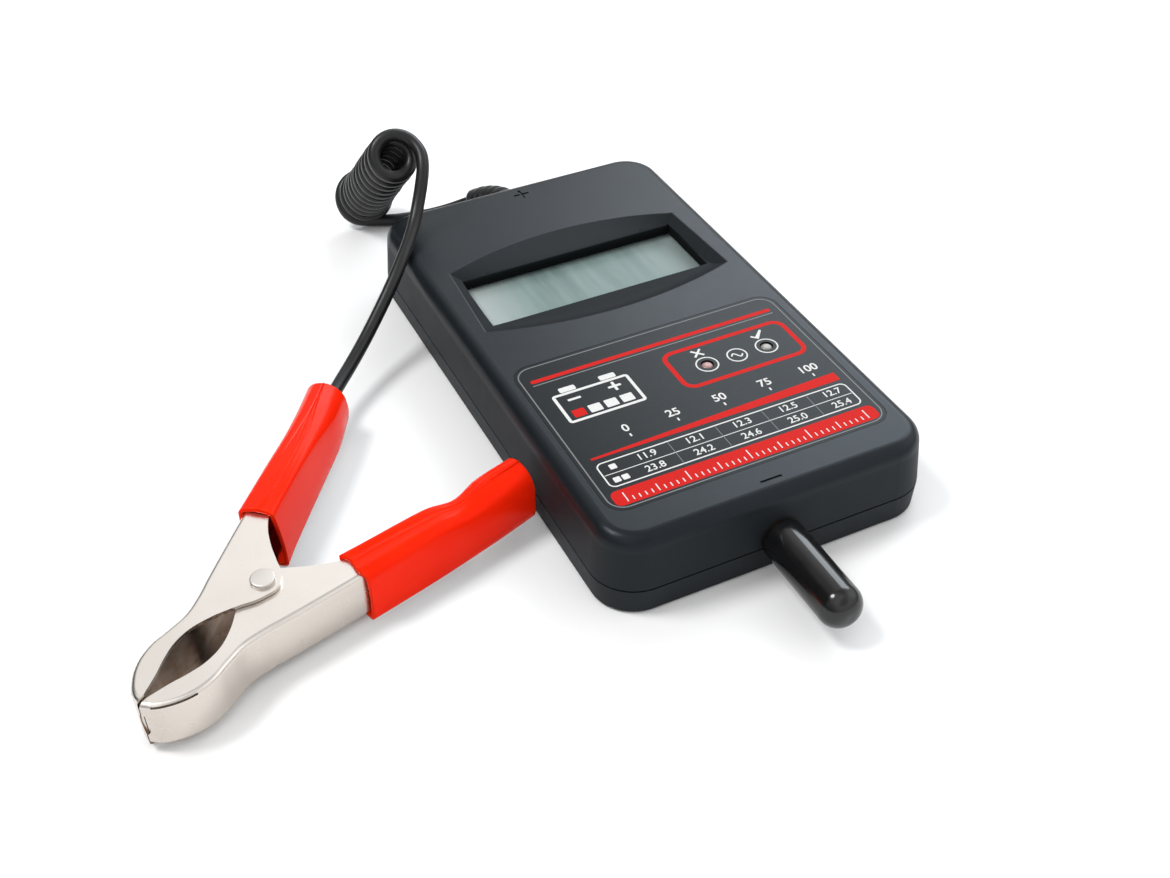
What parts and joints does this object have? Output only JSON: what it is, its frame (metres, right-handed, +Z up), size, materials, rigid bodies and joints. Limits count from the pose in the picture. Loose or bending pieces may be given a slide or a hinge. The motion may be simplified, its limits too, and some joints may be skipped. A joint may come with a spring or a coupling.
{
  "type": "battery tester",
  "caption": "Hand-held battery tester: flat case with display window and lamps, capped brass probe in front, curly cord at the back to a spring clamp with sleeved handles.",
  "frame": {"origin": "centre of the case's flat underside, which rests on the table", "axes": "+Z up through the display face, +Y towards the end that the cord leaves, -Y towards the probe, +X to the right"},
  "size_m": [0.1724, 0.2044, 0.0432],
  "materials": {
    "case_plastic": "fine matte moulded texture",
    "screw_steel": "zinc plated",
    "label_film": "satin printed film",
    "clear_lens": "clear acrylic",
    "lcd_glass": "grey-green liquid crystal panel",
    "inner_plastic": "plain moulded",
    "elastomer": "silicone contact strip",
    "board_laminate": "solder mask over glass laminate",
    "chip_epoxy": "moulded epoxy",
    "capacitor_can": "drawn can",
    "resistor_body": "ceramic chip",
    "trimmer_plastic": "moulded",
    "lamp_lens_fail": "diffused lamp lens",
    "lamp_lens_pass": "diffused lamp lens",
    "probe_brass": "turned and polished",
    "terminal_tin": "tinned",
    "wire_insulation": "smooth insulation",
    "boot_rubber": "moulded ribs",
    "cord_jacket": "smooth satin jacket",
    "copper": "stranded copper",
    "clamp_nickel": "bright nickel plating on pressed steel",
    "spring_steel": "drawn wire",
    "grip_vinyl": "soft glossy vinyl sleeve",
    "cap_vinyl": "soft glossy vinyl"
  },
  "bodies": {
    "tester": {"upper_shell": "case_plastic", "lower_shell": "case_plastic", "case_screws": "screw_steel", "face_label": "label_film", "display_lens": "clear_lens", "lcd_panel": "lcd_glass", "lcd_frame": "inner_plastic", "lcd_contact_strips": "elastomer", "circuit_board": "board_laminate", "board_screws": "screw_steel", "controller_chip": "chip_epoxy", "voltage_regulator": "chip_epoxy", "board_capacitors": "capacitor_can", "board_resistors": "resistor_body", "protection_diode": "chip_epoxy", "calibration_trimmer": "trimmer_plastic", "fail_lamp": "lamp_lens_fail", "pass_lamp": "lamp_lens_pass", "probe_pin": "probe_brass", "probe_terminal": "terminal_tin", "probe_nut": "screw_steel", "probe_wire": "wire_insulation", "strain_relief": "boot_rubber", "cord_inner": "cord_jacket", "cord_core": "copper", "cord_tail": "cord_jacket", "cord_coil": "cord_jacket", "cord_lead": "cord_jacket", "lead_crimp": "terminal_tin", "corded_jaw": "clamp_nickel", "jaw_rivet": "clamp_nickel", "jaw_spring": "spring_steel", "corded_grip": "grip_vinyl"},
    "free_arm": {"free_jaw": "clamp_nickel", "free_grip": "grip_vinyl"},
    "cap": {"probe_cap": "cap_vinyl"}
  },
  "joints": [
    {"name": "jaw_hinge", "type": "hinge", "parent": "tester", "child": "free_arm", "pos_m": [-0.1022, -0.0389, 0.0076], "axis": [0, 0, 1], "range_deg": [0, 34], "stiffness_Nm_per_rad": 0.35, "springref_deg": -34.38, "deforming": ["jaw_spring"]},
    {"name": "cap_pull", "type": "slide", "parent": "tester", "child": "cap", "axis": [0, -1, 0], "range_m": [0, 0.045]}
  ]
}
